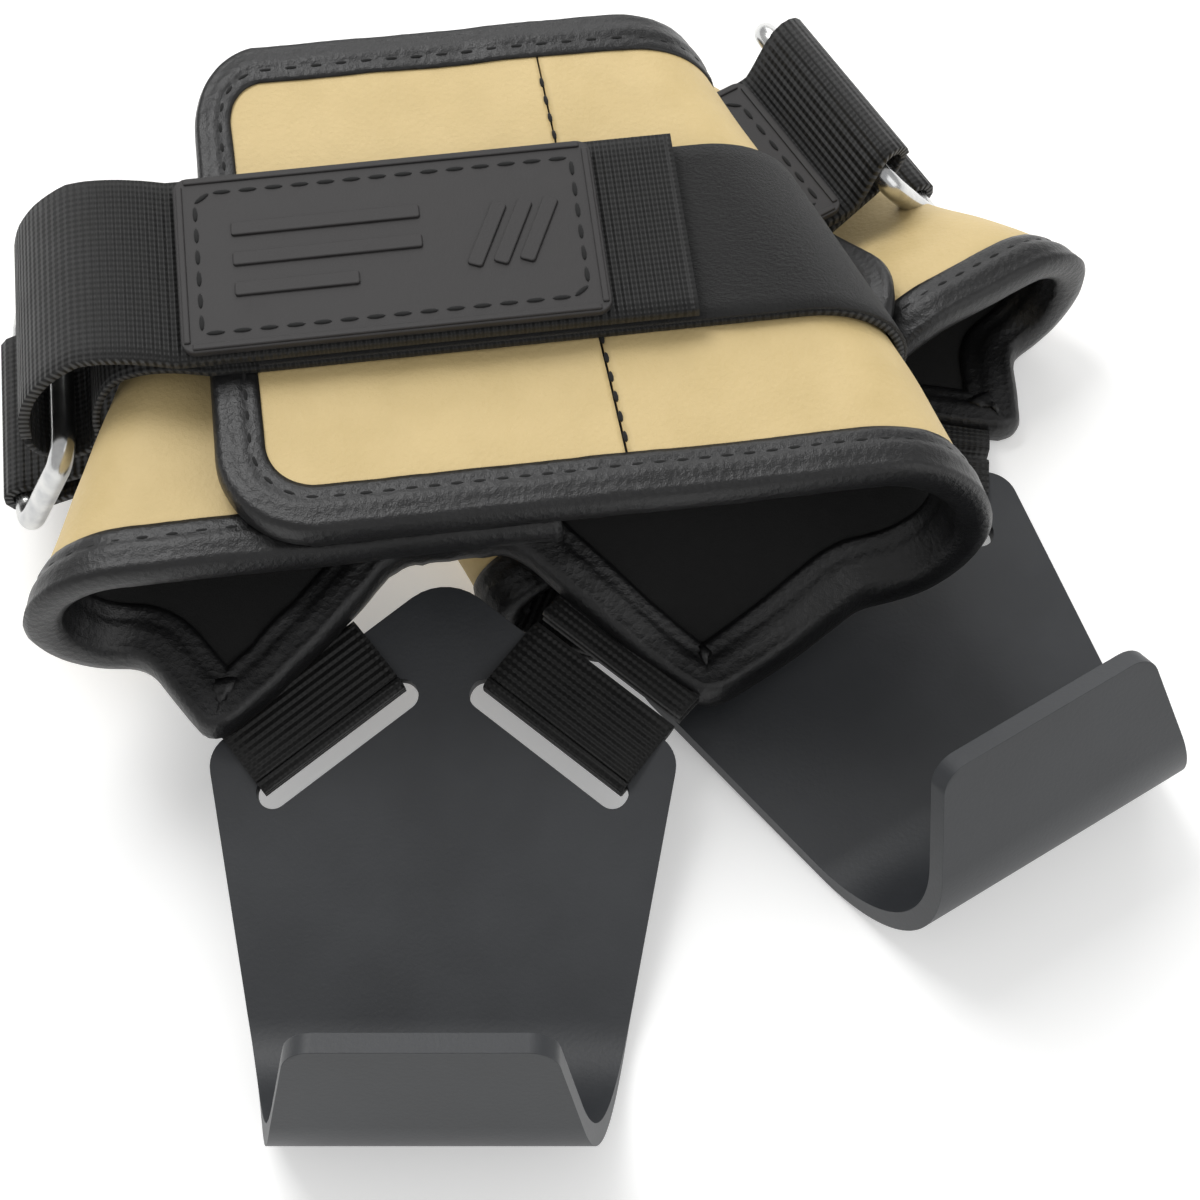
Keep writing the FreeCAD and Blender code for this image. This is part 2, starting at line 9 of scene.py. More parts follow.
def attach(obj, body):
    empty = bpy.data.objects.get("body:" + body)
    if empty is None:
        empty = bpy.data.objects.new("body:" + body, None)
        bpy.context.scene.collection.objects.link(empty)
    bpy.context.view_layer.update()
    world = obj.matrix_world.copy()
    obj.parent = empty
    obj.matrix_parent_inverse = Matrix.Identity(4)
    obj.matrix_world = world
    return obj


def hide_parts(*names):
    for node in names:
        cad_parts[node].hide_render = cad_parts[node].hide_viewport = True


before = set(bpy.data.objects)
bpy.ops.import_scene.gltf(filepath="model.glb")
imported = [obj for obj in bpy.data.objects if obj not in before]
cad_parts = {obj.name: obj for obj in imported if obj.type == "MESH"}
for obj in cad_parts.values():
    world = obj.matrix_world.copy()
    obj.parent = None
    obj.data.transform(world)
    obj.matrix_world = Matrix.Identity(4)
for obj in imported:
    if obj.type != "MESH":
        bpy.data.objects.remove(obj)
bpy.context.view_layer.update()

MM = 0.001

# Cuff, in millimetres, in its own frame: x across the wrist, y along the forearm from the hand edge
CUFF_LENGTH = 82.0
WRIST_HALF = 37.0
WALL_HALF = 2.1
SKIN = 1.0
LINING = 0.8
UNDERLAP_END = 8.0
FLAP_END = -37.0
SEAM = (18.5, 12.5)              # x of the flap's seam at the hand and wrist edges
BINDING = 7.0
FLAP_CORNER = 14.0
NOTCH_X = -7.0
NOTCH_FLOOR = 9.0
PALM_REACH = 13.0
PALM = 2.5                       # height of the palm side at mid-wall
EDGE = 1.5                       # how deep the layers sit inside the binding

# Strap
STRAP_Y = 40.6
STRAP_WIDTH = 30.0
STRAP = 1.6
STRAP_START = -40.0
TAIL_END = 30.0
LABEL_X = (-40.0, 18.3)
LABEL_WIDTH = 29.0
FOLD_SHIFT = 4.0
FOLD_RADIUS = 5.0
RING_BARS = 20.0
GAP = 0.3

# Hook
STEEL = 3.0
BEND_START = 61.6
BEND_INSIDE = 15.0
BEND_ANGLE = math.radians(118.0)
LIP = 17.7
ROOF = math.radians(38.0)
SHOULDER_HALF = 33.6
LIP_HALF = 16.8
NOSE_RADIUS = 8.0
SLOT_WIDTH = 4.6
SLOT_LENGTH = 27.5
SLOT_MIDDLE = (15.0, 23.0)
HOOK_WEB_WIDTH = 25.0
HOOK_WEB = 1.6
WEB_STUB = 2.0
NOSE_Y = -7.3
MIDDLE = Vector((-4.79, 4.82, 0.0))

# How the soft cuffs hang and are pressed, in millimetres
TAPES = 1.2                      # the two closure tapes between underlap and flap
HANG = (30.0, 40.0)              # the palm side starts to hang here, over this length
OPEN = (34.0, 30.0)              # the same for the lobe that stands open
OPEN_SIDE = (8.0, 34.0)          # x where that lobe starts to rise, and over what width
LOBE_SIDE = (2.0, 28.0)          # the same for the right-hand lobe
LOBE_END = (26.0, 34.0)
LOBE_HANG = 5.0
LOBE_PRESS = 0.42                # how much of its height the hidden lobe loses
PADDING = (22.0, 0.55, 0.16)     # width of the padding's soft unevenness, and its two heights
STITCH_DEPTH = 4.9               # how far the binding's stitches are from its edge
STITCH_PITCH = 3.0
LABEL_PITCH = 3.6
LABEL_INSET = 2.9


def smooth(t):
    t = min(1.0, max(0.0, t))
    return t * t * (3 - 2 * t)


class Grip:
    """One grip: where it lies and how its cuff is pressed."""

    def __init__(self, side, mirrored, place, turn, pitch, cuff, cuff_turn, top, left_half, right_half, notch,
                 bar, lean, web_z, web_lead, rise, droop):
        self.side = side
        self.pitch = math.radians(pitch)
        self.bar = bar
        self.lean = math.radians(lean)
        self.web_z = web_z
        self.web_lead = web_lead
        self.left_half = left_half
        self.right_half = right_half
        self.mouth, self.depth = notch
        self.rise = rise
        self.droop = droop
        self.flap = top - WALL_HALF
        self.under = self.flap - 2 * WALL_HALF - TAPES
        mirror = Matrix.Diagonal((-1 if mirrored else 1, 1, 1, 1))
        self.lie = (Matrix.Scale(MM, 4) @ Matrix.Translation(Vector((*place, 0)) - MIDDLE)
                    @ Matrix.Rotation(math.radians(turn), 4, "Z") @ mirror)
        self.cuff = Matrix.Translation(cuff) @ Matrix.Rotation(math.radians(cuff_turn), 4, "Z")
        left, right = self.centres(0.0)
        arcs = [math.pi * self.radius(way, 0.0) for way in (-1, 1)]
        self.stops = [0.0]
        for length in (UNDERLAP_END - left, arcs[0], right - left, arcs[1], right - FLAP_END):
            self.stops.append(self.stops[-1] + length)
        self.whole = self.stops[-1]

    def palm(self, y):
        """Height of the palm side, which hangs lower towards the hand edge."""
        return PALM - self.droop * smooth((HANG[0] - y) / HANG[1])

    def pressed(self, x, y, z):
        """The right-hand lobe hangs on the left grip, and is pressed flat under it on the right one."""
        near = smooth((x - LOBE_SIDE[0]) / LOBE_SIDE[1]) * smooth((LOBE_END[0] - y) / LOBE_END[1])
        if self.droop:
            return z - LOBE_HANG * near * max(0.0, 1 - z / self.flap)
        return z - LOBE_PRESS * near * max(0.0, z)

    def radius(self, way, y):
        """Radius of the rounded side on the left, -1, or the right, 1."""
        top = self.under + self.lift(y) if way < 0 else self.flap
        return (top - self.palm(y)) / 2

    def centres(self, y):
        share = y / CUFF_LENGTH
        hand, wrist = self.left_half
        left_half = hand + (wrist - hand) * share
        right_half = self.right_half + (WRIST_HALF - self.right_half) * share
        return -left_half + WALL_HALF + self.radius(-1, y), right_half - WALL_HALF - self.radius(1, y)

    def lift(self, y):
        """How far the open lobe stands up at the hand edge."""
        return self.rise * smooth((OPEN[0] - y) / OPEN[1])

    def lifted(self, x, y):
        return self.lift(y) * smooth((-OPEN_SIDE[0] - x) / OPEN_SIDE[1])

    def path(self, u, y, n):
        """x and z of a point u along the wrap and n outside mid-wall."""
        left, right = self.centres(y)
        palm = self.palm(y)
        left_radius, right_radius = self.radius(-1, y), self.radius(1, y)
        part = min(4, max(0, bisect.bisect(self.stops, u) - 1))
        share = (u - self.stops[part]) / (self.stops[part + 1] - self.stops[part])
        if part == 0:
            x = UNDERLAP_END + (left - UNDERLAP_END) * share
            return x, self.under + self.lifted(x, y) + n
        if part == 1:
            angle = math.pi * (0.5 + share)
            reach = left_radius + n
            return left + reach * math.cos(angle), palm + left_radius + reach * math.sin(angle)
        if part == 2:
            return left + (right - left) * share, palm - n
        if part == 3:
            angle = math.pi * (share - 0.5)
            reach = right_radius + n
            return right + reach * math.cos(angle), palm + right_radius + reach * math.sin(angle)
        x = right + (FLAP_END - right) * share
        return x, self.flap + self.lifted(x, y) + n

    def palm_u(self, x):
        left = self.centres(0.0)[0]
        return self.stops[2] + x - left

    def flap_u(self, x, y):
        right = self.centres(y)[1]
        return self.stops[4] + (right - x) / (right - FLAP_END) * (self.stops[5] - self.stops[4])

    def hand_edge(self, u):
        """y of the wrap's hand edge: the palm side stands out either side of the notch."""
        left, right = self.centres(0.0)
        corners = [(left, 0.0), (NOTCH_X - self.mouth, -PALM_REACH), (NOTCH_X - NOTCH_FLOOR, self.depth),
                   (NOTCH_X + NOTCH_FLOOR, self.depth), (NOTCH_X + self.mouth, -PALM_REACH), (right, 0.0)]
        x = u - self.stops[2] + left
        y = 0.0
        for (x0, y0), (x1, y1) in zip(corners, corners[1:]):
            if x0 <= x <= x1:
                y = y0 + (y1 - y0) * (x - x0) / (x1 - x0)
        return y

    def soft_hand_edge(self, u):
        reach = 2.4
        low = sum(self.hand_edge(u + step * reach / 3) for step in range(-3, 4)) / 7
        return low + self.corner(u)

    def wrist_edge(self, u):
        return CUFF_LENGTH - self.corner(u)

    def corner(self, u):
        inside = max(0.0, u - (self.whole - FLAP_CORNER))
        return FLAP_CORNER - math.sqrt(max(0.0, FLAP_CORNER ** 2 - min(inside, FLAP_CORNER) ** 2))

    def on_wall(self, u, y, n):
        """A place on the wrap, in the row frame, with the soft unevenness of padding."""
        wide, high, small = PADDING
        spot = Vector((u / wide, y / wide, self.rise))
        uneven = high * noise.noise(spot) + small * noise.noise(spot * 3.1)
        x, z = self.path(u, max(-14.0, y), n + uneven)
        spot = self.lie @ self.cuff @ Vector((x, y, self.pressed(x, y, z)))
        spot.z = max(spot.z, 0.0)
        return spot

    def in_cuff(self, x, y, z):
        return self.lie @ self.cuff @ Vector((x, y, z))

    def hook(self):
        """The hook's own frame: nose at the origin, y away from it, z out of the upper face."""
        nose = BEND_INSIDE + STEEL + BEND_START * math.sin(self.pitch) - BEND_INSIDE * math.cos(self.pitch)
        return Matrix.Translation((0, NOSE_Y, nose)) @ Matrix.Rotation(self.pitch, 4, "X")


GRIPS = [
    Grip("left", False, (-22.3, 0.0), 0.0, 13.8, (9.2, -13.5, 23.6), 7.0, 27.0, (66.0, 32.0), 68.5,
         (32.5, 10.5), (-60.0, 9.5), 65.0, 12.6, 7.0, 0.0, 9.0),
    Grip("right", True, (17.4, 28.1), 31.8, 3.2, (8.0, -13.0, 0.0), 0.0, 17.5, (68.5, 37.0), 38.5,
         (37.0, 20.6), (-48.5, 22.6), 58.0, 2.5, 5.0, 14.0, 0.0),
]


# ---------------------------------------------------------------- meshes

def finish_mesh(bm, name, smooth_faces=True):
    mesh = bpy.data.meshes.new(name)
    bm.to_mesh(mesh)
    bm.free()
    if smooth_faces:
        mesh.shade_smooth()
    piece = bpy.data.objects.new(name, mesh)
    bpy.context.collection.objects.link(piece)
    return piece


def sheet_piece(name, columns, rows, place, flat, outward=None, close=False):
    """A grid laid over a surface: place and flat take shares 0 to 1 across and along."""
    bm = bmesh.new()
    bmesh.ops.create_grid(bm, x_segments=columns, y_segments=rows, size=0.5)
    layer = bm.loops.layers.uv.new("cloth")
    shares = {v: (v.co.x + 0.5, v.co.y + 0.5) for v in bm.verts}
    for face in bm.faces:
        for loop in face.loops:
            loop[layer].uv = flat(*shares[loop.vert])
    for v, (a, b) in shares.items():
        v.co = place(a, b)
    if close:
        bmesh.ops.remove_doubles(bm, verts=bm.verts, dist=1e-6)
    bm.normal_update()
    if outward:
        face = max(bm.faces, key=lambda f: f.calc_area())
        middle = face.verts[0]
        a, b = shares[middle]
        if face.normal.dot(outward(a, b) - middle.co) < 0:
            bmesh.ops.reverse_faces(bm, faces=bm.faces)
    else:
        bmesh.ops.recalc_face_normals(bm, faces=bm.faces)
    return finish_mesh(bm, name)


def thicken(piece, thickness, offset=0.0):
    solid = piece.modifiers.new("thickness", "SOLIDIFY")
    solid.thickness = thickness * MM
    solid.offset = offset


def done(piece, material, body, slot, *nodes):
    piece.data.materials.clear()
    piece.data.materials.append(material)
    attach(piece, body)
    if nodes:
        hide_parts(*nodes)
    return piece


def sample(points, share):
    """A place a share of the way along a path of x, z points, by length."""
    lengths = [0.0]
    for a, b in zip(points, points[1:]):
        lengths.append(lengths[-1] + math.dist(a, b))
    goal = share * lengths[-1]
    i = min(len(points) - 2, max(0, bisect.bisect_right(lengths, goal) - 1))
    t = (goal - lengths[i]) / (lengths[i + 1] - lengths[i])
    return [p + (q - p) * t for p, q in zip(points[i], points[i + 1])]


def length_of(points):
    return sum(math.dist(a, b) for a, b in zip(points, points[1:]))


# ---------------------------------------------------------------- materials

def linear(code):
    """An sRGB hex colour as linear red, green, blue, alpha."""
    values = [int(code[i:i + 2], 16) / 255 for i in (0, 2, 4)]
    return [v / 12.92 if v <= 0.04045 else ((v + 0.055) / 1.055) ** 2.4 for v in values] + [1.0]


def add(tree, kind, links=None, **settings):
    """Adds a node: settings set its properties or sockets, links join sockets to other nodes' outputs."""
    node = tree.nodes.new("ShaderNode" + kind)
    for key, value in settings.items():
        if hasattr(node, key):
            setattr(node, key, value)
        else:
            node.inputs[key.replace("_", " ")].default_value = value
    for key, source in (links or {}).items():
        tree.links.new(source, node.inputs[key])
    return node


def ramp(tree, source, low, high, *colours):
    node = add(tree, "ValToRGB", {"Fac": source})
    node.color_ramp.elements[0].position = low
    node.color_ramp.elements[1].position = high
    node.color_ramp.elements[0].color = colours[0]
    node.color_ramp.elements[1].color = colours[1]
    return node.outputs["Color"]


def material(name, colours, roughness, spread, metallic=0.0, sheen=0.0, coat=0.0):
    """A principled material whose colour wanders between two shades; returns it with its nodes."""
    made = bpy.data.materials.new(name)
    made.use_nodes = True
    tree = made.node_tree
    shader = tree.nodes["Principled BSDF"]
    shader.inputs["Metallic"].default_value = metallic
    shader.inputs["Sheen Weight"].default_value = sheen
    shader.inputs["Coat Weight"].default_value = coat
    where = add(tree, "TexCoord")
    cloud = add(tree, "TexNoise", {"Vector": where.outputs["Object"]}, Scale=1 / (spread * MM), Detail=4.0)
    shade = ramp(tree, cloud.outputs["Fac"], 0.35, 0.65, *[linear(c) for c in colours])
    tree.links.new(shade, shader.inputs["Base Color"])
    rough = add(tree, "MapRange", {"Value": cloud.outputs["Fac"]}, To_Min=roughness[0], To_Max=roughness[1])
    tree.links.new(rough.outputs["Result"], shader.inputs["Roughness"])
    return made, tree, shader, where


def bump(tree, shader, height, depth, strength=1.0):
    node = add(tree, "Bump", {"Height": height}, Strength=strength, Distance=depth * MM)
    tree.links.new(node.outputs["Normal"], shader.inputs["Normal"])


def grained_leather(name, colours, roughness, pebble, depth, coat=0.0):
    """Coated synthetic leather: small rounded pebbles pressed into a satin skin."""
    made, tree, shader, where = material(name, colours, roughness, 9.0, coat=coat)
    cells = add(tree, "TexVoronoi", {"Vector": where.outputs["Object"]}, Scale=1 / (pebble * MM))
    fine = add(tree, "TexNoise", {"Vector": where.outputs["Object"]}, Scale=4 / (pebble * MM), Detail=3.0)
    height = add(tree, "Math", {0: cells.outputs["Distance"], 1: fine.outputs["Fac"]}, operation="ADD")
    bump(tree, shader, height.outputs["Value"], depth)
    return made


def ribbed_webbing(name, colours, pitch, across=False):
    """Woven polypropylene: rounded ribs across the tape, each broken up by its yarns."""
    made, tree, shader, where = material(name, colours, (0.5, 0.72), 4.0, sheen=0.04)
    tilt = add(tree, "SeparateXYZ", {"Vector": where.outputs["UV"]})
    turns = 2 * math.pi / (pitch * MM)
    along = add(tree, "Math", {0: tilt.outputs["X"]}, operation="MULTIPLY")
    along.inputs[1].default_value = turns
    wave = add(tree, "Math", {0: along.outputs["Value"]}, operation="SINE")
    cross = add(tree, "Math", {0: tilt.outputs["Y"]}, operation="MULTIPLY")
    cross.inputs[1].default_value = 2 * math.pi / (0.9 * MM)
    yarn = add(tree, "Math", {0: cross.outputs["Value"]}, operation="SINE")
    yarn_low = add(tree, "Math", {0: yarn.outputs["Value"]}, operation="MULTIPLY")
    yarn_low.inputs[1].default_value = 0.22
    height = add(tree, "Math", {0: wave.outputs["Value"], 1: yarn_low.outputs["Value"]}, operation="ADD")
    bump(tree, shader, height.outputs["Value"], 0.22)
    return made


def fuzzy(name, colours, grain, depth, sheen):
    """A napped cloth: short loops or fibres that scatter light."""
    made, tree, shader, where = material(name, colours, (0.8, 0.95), grain * 6, sheen=sheen)
    fibre = add(tree, "TexNoise", {"Vector": where.outputs["Object"]}, Scale=1 / (grain * MM), Detail=6.0,
                Roughness=0.75)
    bump(tree, shader, fibre.outputs["Fac"], depth)
    return made


def powder_coat():
    """Baked powder coat on steel: dark satin, faint orange peel, rubbed paler at a few spots."""
    made, tree, shader, where = material("satin_powder_coat", ("2C2E31", "333538"), (0.42, 0.54), 14.0)
    peel = add(tree, "TexNoise", {"Vector": where.outputs["Object"]}, Scale=1 / (0.6 * MM), Detail=3.0)
    bump(tree, shader, peel.outputs["Fac"], 0.03)
    return made


def zinc_wire():
    """Zinc-plated drawn wire: bright, its shade and roughness wandering in faint patches."""
    made, tree, shader, where = material("bright_zinc_wire", ("B9BABB", "D6D6D4"), (0.16, 0.30), 3.0,
                                         metallic=1.0)
    return made


def moulded_rubber():
    """Soft moulded rubber patch: matte, charcoal, faintly mottled."""
    made, tree, shader, where = material("moulded_rubber", ("242222", "2B2929"), (0.55, 0.68), 6.0)
    skin = add(tree, "TexNoise", {"Vector": where.outputs["Object"]}, Scale=1 / (0.35 * MM), Detail=4.0)
    bump(tree, shader, skin.outputs["Fac"], 0.03)
    return made


TAN = grained_leather("tan_microfibre_leather", ("CEB680", "D5BD88"), (0.5, 0.66), 0.8, 0.06)
BLACK_LEATHER = grained_leather("black_binding_leather", ("0E0E0F", "151516"), (0.32, 0.44), 0.9, 0.07)
WEBBING = ribbed_webbing("black_ribbed_webbing", ("0B0B0B", "141413"), 1.15)
PILE = fuzzy("loop_pile", ("0D0D0D", "171717"), 0.5, 0.6, 0.12)
LINING_CLOTH = fuzzy("brushed_lining", ("080808", "0D0D0D"), 0.4, 0.15, 0.05)
TAPE = fuzzy("hook_tape", ("101010", "181818"), 0.6, 0.3, 0.1)
FOAM = fuzzy("closed_cell_foam", ("161616", "1C1C1C"), 0.8, 0.1, 0.0)
RUBBER = moulded_rubber()
ZINC = zinc_wire()
COAT = powder_coat()
THREAD = fuzzy("bonded_thread", ("0C0C0C", "151515"), 0.2, 0.05, 0.1)
GREY_THREAD = fuzzy("grey_thread", ("0D0D0D", "161616"), 0.2, 0.05, 0.1)


# ---------------------------------------------------------------- cuff

def wrap_sheet(grip, name, first, last, n, columns, rows=44):
    """One layer of the wrap between two lines across it, given as u at a distance y."""
    def spot(a, b):
        y = b * CUFF_LENGTH
        u = first(y) + (last(y) - first(y)) * a
        low = grip.soft_hand_edge(u) + EDGE
        high = grip.wrist_edge(u) - EDGE
        return u, low + (high - low) * b

    def place(a, b):
        return grip.on_wall(*spot(a, b), n)

    def flat(a, b):
        u, y = spot(a, b)
        return u * MM, y * MM

    return sheet_piece(name, columns, rows, place, flat, lambda a, b: grip.on_wall(*spot(a, b), n + 1))


def cuff_pad(grip):
    side = grip.side
    body = side + "_cuff"

    def start(y):
        return EDGE

    def end(y):
        return grip.whole - EDGE

    def seam(y):
        return grip.flap_u(SEAM[0] + (SEAM[1] - SEAM[0]) * y / CUFF_LENGTH, y)

    palm = wrap_sheet(grip, side + "_palm_skin", start, seam, WALL_HALF, 200)
    thicken(palm, SKIN, -1)
    done(palm, TAN, body, "outer_leather", side + "_palm_panel")
    flap = wrap_sheet(grip, side + "_flap_skin", lambda y: seam(y) + 0.4, end, WALL_HALF, 70)
    thicken(flap, SKIN, -1)
    done(flap, TAN, body, "outer_leather", side + "_flap_panel")
    foam = wrap_sheet(grip, side + "_foam", start, end, WALL_HALF - SKIN, 240)
    thicken(foam, 2 * WALL_HALF - SKIN - LINING, -1)
    done(foam, FOAM, body, "foam", side + "_foam_pad")
    lining = wrap_sheet(grip, side + "_inner_lining", start, end, -WALL_HALF + LINING, 240)
    thicken(lining, LINING, -1)
    done(lining, LINING_CLOTH, body, "lining", side + "_lining")
    seam_points = [grip.on_wall(seam(y), y, WALL_HALF) for y in [8 + 3.2 * i for i in range(21)]]
    stitches(grip, side + "_seam_thread", seam_points, THREAD)


def outline(grip):
    """The wrap's whole edge as points (u, y), from the underlap round the hand edge and the flap."""
    count = 330
    points = [(grip.whole * i / count, grip.soft_hand_edge(grip.whole * i / count)) for i in range(count)]
    corner = [math.radians(90 * i / 20) for i in range(21)]
    points = [p for p in points if p[0] < grip.whole - FLAP_CORNER - 1.2]
    points += [(grip.whole - FLAP_CORNER + FLAP_CORNER * math.sin(a), FLAP_CORNER - FLAP_CORNER * math.cos(a))
               for a in corner]
    straight = CUFF_LENGTH - 2 * FLAP_CORNER
    points += [(grip.whole, FLAP_CORNER + straight * i / 50) for i in range(1, 50)]
    points += [(grip.whole - FLAP_CORNER + FLAP_CORNER * math.cos(a),
                CUFF_LENGTH - FLAP_CORNER + FLAP_CORNER * math.sin(a)) for a in corner]
    back = grip.whole - FLAP_CORNER
    points += [(back * (1 - i / 250), CUFF_LENGTH) for i in range(1, 251)]
    points += [(0.0, CUFF_LENGTH * (1 - i / 32)) for i in range(1, 32)]
    return points


def inward(points, i):
    """The direction into the wrap at a point of its outline."""
    u0, y0 = points[i - 2]
    u1, y1 = points[(i + 2) % len(points)]
    size = math.hypot(u1 - u0, y1 - y0) or 1.0
    return -(y1 - y0) / size, (u1 - u0) / size


def edge_binding(grip):
    """Black leather folded over the whole edge, puckered where it turns the notch's corners."""
    points = outline(grip)
    ring = 12
    normals = [inward(points, i) for i in range(len(points))]

    def pucker(u):
        """How strongly the leather gathers: most in and beside the notch."""
        x = u - grip.stops[2] + grip.centres(0.0)[0]
        near = max(0.0, 1 - abs(x - NOTCH_X) / (grip.mouth + 12))
        return 0.12 + 0.75 * (near if grip.stops[2] < u < grip.stops[3] else 0.0)

    def section(b):
        """Depth into the wrap and height off mid-wall round the folded leather, both as shares."""
        if b < 0.4:
            t = b / 0.4
            puff = math.sin(math.pi * min(1, t * 1.2) / 1.2)
            return BINDING * (1 - t) + 0.9 * t, WALL_HALF + 0.25 + 0.55 * puff
        if b > 0.6:
            t = (1 - b) / 0.4
            puff = math.sin(math.pi * min(1, t * 1.2) / 1.2)
            return BINDING * (1 - t) + 0.9 * t, -(WALL_HALF + 0.25 + 0.45 * puff)
        turn = (b - 0.4) / 0.2 * math.pi
        return 0.9 - 1.2 * math.sin(turn), (WALL_HALF + 0.55) * math.cos(turn)

    def place(a, b):
        i = round(a * len(points)) % len(points)
        u, y = points[i]
        inside_u, inside_y = normals[i]
        depth, n = section(b)
        wave = noise.noise(Vector((i / 3.1, depth / 5, grip.rise)))
        wave += 0.5 * noise.noise(Vector((i / 1.4, 7, depth / 4)))
        n += math.copysign(pucker(u) * wave, n)
        shift = 0.35 * pucker(u) * noise.noise(Vector((i / 4, 3, 1)))
        stitch_line = math.exp(-((depth - STITCH_DEPTH) / 0.5) ** 2)
        n -= math.copysign(0.28 * stitch_line, n)
        return grip.on_wall(u + inside_u * (depth + shift), y + inside_y * (depth + shift), n)

    def outward(a, b):
        return place(a, b) + (place(a, 0.0) - place(a, 1.0)) * (0.01 if b < 0.5 else -0.01)

    piece = sheet_piece(grip.side + "_edge_leather", len(points), ring * 2, place,
                        lambda a, b: (a, b * 0.02),
                        outward,
                        close=True)
    thicken(piece, 0.5, -1)
    names = ("hand_edge_binding", "wrist_edge_binding", "notch_binding", "flap_end_binding")
    done(piece, BLACK_LEATHER, grip.side + "_cuff", "binding_leather", *[grip.side + "_" + n for n in names])
    places = []
    last = None
    for (u, y), (inside_u, inside_y) in zip(points, normals):
        here = grip.on_wall(u + inside_u * STITCH_DEPTH, y + inside_y * STITCH_DEPTH, WALL_HALF + 0.45)
        if last is None or (here - last).length > STITCH_PITCH * MM:
            places.append(here)
            last = here
    stitches(grip, grip.side + "_binding_thread", places, THREAD)


def stitches(grip, name, places, thread, body=None, slot="binding_leather", size=(0.95, 0.32, 0.26)):
    """A row of stitches: a small bead of thread between each place and the next."""
    bm = bmesh.new()
    for here, ahead in zip(places, places[1:]):
        gap = ahead - here
        if gap.length > 6 * MM or gap.length < 0.5 * MM:
            continue
        turn = gap.to_track_quat("X", "Z").to_matrix().to_4x4()
        frame_here = Matrix.Translation(here + gap * 0.5) @ turn @ Matrix.Diagonal(
            (*[s * MM for s in size], 1.0))
        bmesh.ops.create_uvsphere(bm, u_segments=8, v_segments=6, radius=1.0, matrix=frame_here)
    return done(finish_mesh(bm, name), thread, body or grip.side + "_cuff", slot)


# ---------------------------------------------------------------- strap

def curve(start, end, steps=14):
    """A bend in x and z: level at the start, upright at the end."""
    (x0, z0), (x1, z1) = start, end
    stops = (start, (x0 + (x1 - x0) * 0.62, z0), (x1, z1 + (z0 - z1) * 0.6), end)
    points = []
    for i in range(steps + 1):
        t = i / steps
        weights = (1 - t) ** 3, 3 * t * (1 - t) ** 2, 3 * t * t * (1 - t), t ** 3
        points.append(tuple(sum(w * p[axis] for w, p in zip(weights, stops)) for axis in (0, 1)))
    return points


def round_bar(bar, first, last, steps):
    angles = [math.radians(first + (last - first) * i / steps) for i in range(steps + 1)]
    return [(bar[0] + FOLD_RADIUS * math.cos(a), bar[1] + FOLD_RADIUS * math.sin(a)) for a in angles]


def strap_routes(grip):
    """The strap's base and tail past the cuff, in x and z of the cuff frame."""
    under = WALL_HALF + 0.4
    base_z = grip.flap + under + STRAP / 2
    tail_z = grip.flap + under + STRAP + GAP + 0.9 + STRAP / 2
    tail_start = (LABEL_X[0] - 1, tail_z)
    if grip.bar[1] < base_z:
        base = curve((FLAP_END, base_z), (grip.bar[0] + FOLD_RADIUS, grip.bar[1]))
        base += round_bar(grip.bar, -12, -180, 14)
        rise = curve(tail_start, (grip.bar[0] - FOLD_RADIUS, grip.bar[1] + 0.9))[::-1]
        return base, rise, tail_z
    base = [(FLAP_END, base_z)] + round_bar(grip.bar, -90, -180, 8)
    rise = round_bar(grip.bar, -190, -270, 8)
    top = (grip.bar[0], grip.bar[1] + FOLD_RADIUS)
    for i in range(1, 13):
        t = i / 12
        rise.append((top[0] + (tail_start[0] - top[0]) * t, top[1] + (tail_start[1] - top[1]) * smooth(t)))
    return base, rise, tail_z


def drift(x, start):
    return FOLD_SHIFT * min(1.0, max(0.0, (start - x) / 14.0))


def band(grip, name, route, width, thickness, material_used, body, slot, nodes, start, bow=0.0):
    """A tape along a route of x, z points that may depend on y, its width along y."""
    middle = STRAP_Y
    columns = max(20, int(length_of(route(middle)) / 1.6))

    def place(a, b):
        y = middle + (b - 0.5) * width
        x, z = sample(route(y), a)
        z += bow * (1 - (2 * b - 1) ** 2)
        return grip.in_cuff(x, y + drift(x, start), z)

    length = length_of(route(middle))
    piece = sheet_piece(name, columns, 12, place, lambda a, b: (a * length * MM, b * width * MM))
    thicken(piece, thickness)
    return done(piece, material_used, body, slot, *nodes)


